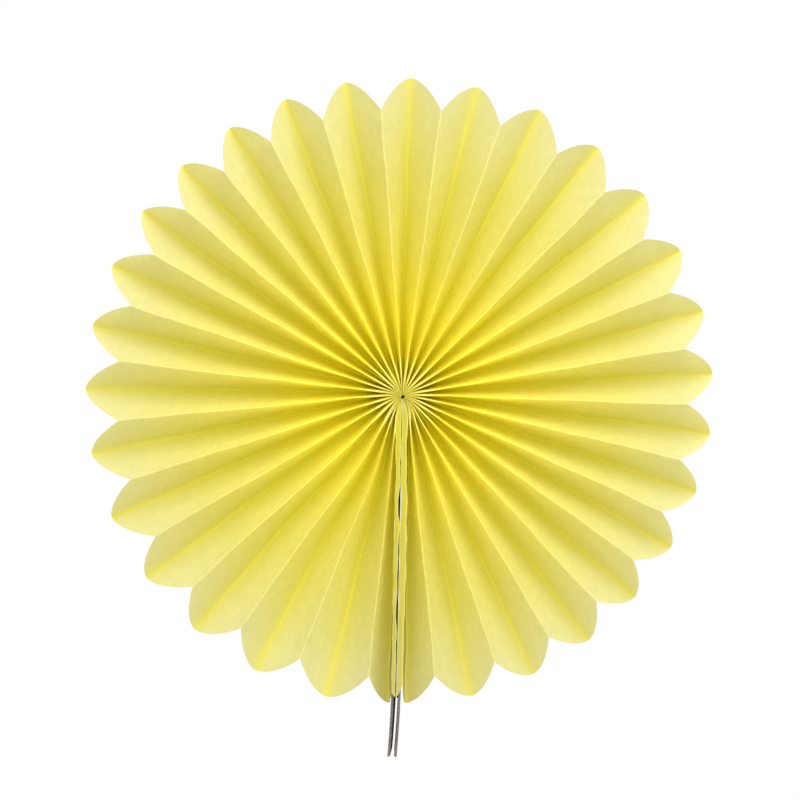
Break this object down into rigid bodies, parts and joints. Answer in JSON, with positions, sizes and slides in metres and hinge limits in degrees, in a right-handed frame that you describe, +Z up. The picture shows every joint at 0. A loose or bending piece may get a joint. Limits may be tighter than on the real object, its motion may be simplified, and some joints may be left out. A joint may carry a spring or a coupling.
{
  "type": "paper fan rosette",
  "caption": "Pleated tissue fan opened into a full disc, with a scalloped rim, a small hub hole and two grey board tabs standing out below the seam.",
  "frame": {"origin": "centre of the small hole at the hub, half way through the disc's depth", "axes": "the disc stands upright in X and Z and faces -Y, +Z is up, and the seam and its tabs point to -Z"},
  "size_m": [0.2994, 0.021, 0.322],
  "materials": {
    "yellow_tissue": "matt, thin enough to let light through",
    "grey_board": "rough cut grey board",
    "thread": "twisted cotton thread"
  },
  "bodies": {
    "root": {"pleated_tissue": "yellow_tissue", "left_board": "grey_board", "right_board": "grey_board", "binding_thread": "thread"}
  },
  "joints": []
}
